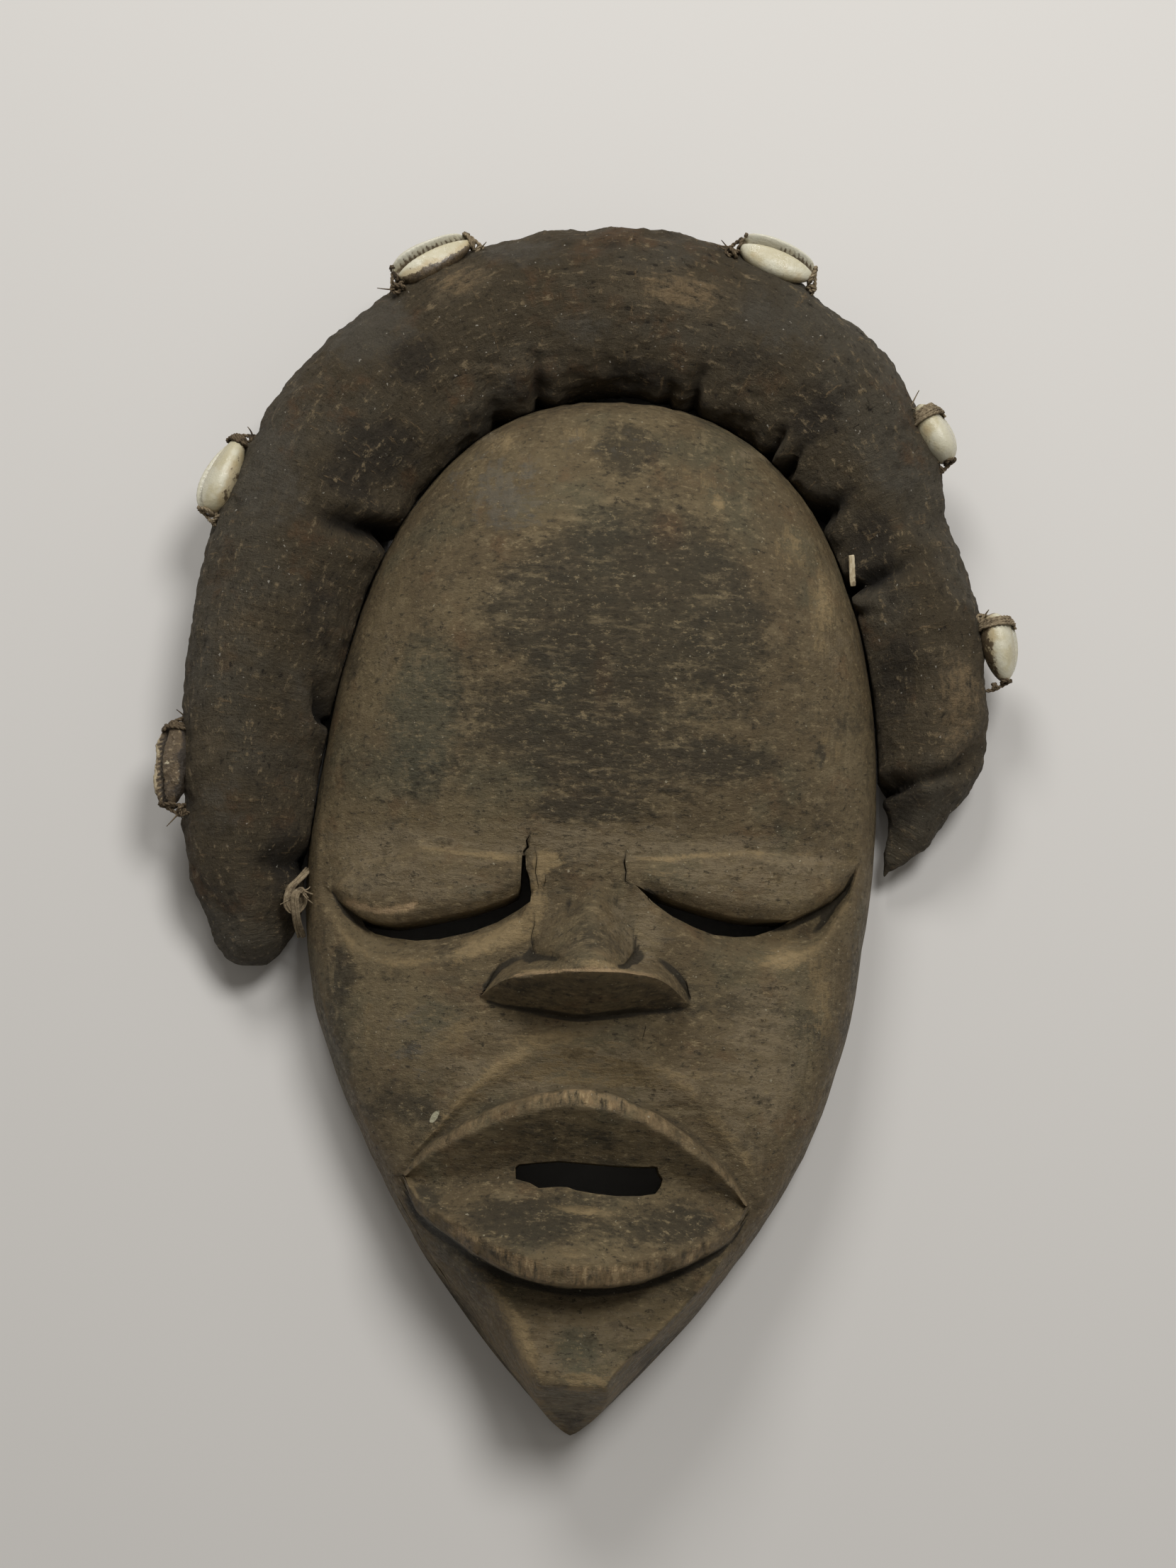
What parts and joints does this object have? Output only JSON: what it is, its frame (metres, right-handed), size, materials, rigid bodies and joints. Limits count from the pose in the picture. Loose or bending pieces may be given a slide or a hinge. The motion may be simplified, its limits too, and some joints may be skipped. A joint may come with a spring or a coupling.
{
  "type": "dan deangle mask",
  "caption": "Carved wooden face mask with narrow eye slits, an open lip mouth, a stuffed cloth roll round the forehead and sewn cowrie shells.",
  "frame": {"origin": "middle of the whole mask's length and width, on the plane of its back rim", "axes": "+Y from the chin to the crown, +Z out of the face, +X to the right of a person who looks at the face"},
  "size_m": [0.232, 0.3312, 0.0723],
  "materials": {
    "carved_wood": "dark oiled hardwood, worn light on the carved edges",
    "crusted_cloth": "stuffed cloth stiff with a dark matt crust",
    "cream_shell": "glossy shell with brown dirt in its hollows",
    "brown_shell": "shell under a brown crust",
    "thread": "twisted plant fibre, dirty and matt",
    "bamboo": "split bamboo, dry and pale"
  },
  "bodies": {
    "root": {"mask": "carved_wood", "padded_roll": "crusted_cloth", "cowrie_1": "brown_shell", "cowrie_2": "cream_shell", "cowrie_3": "cream_shell", "cowrie_4": "cream_shell", "cowrie_5": "cream_shell", "cowrie_6": "cream_shell", "cowrie_7": "cream_shell", "thread_1_a": "thread", "thread_1_b": "thread", "thread_2_a": "thread", "thread_2_b": "thread", "thread_3_a": "thread", "thread_3_b": "thread", "thread_4_a": "thread", "thread_4_b": "thread", "thread_5_a": "thread", "thread_5_b": "thread", "thread_6_a": "thread", "thread_6_b": "thread", "thread_7_a": "thread", "thread_7_b": "thread", "lashing_left": "thread", "pin_right": "bamboo"}
  },
  "joints": []
}
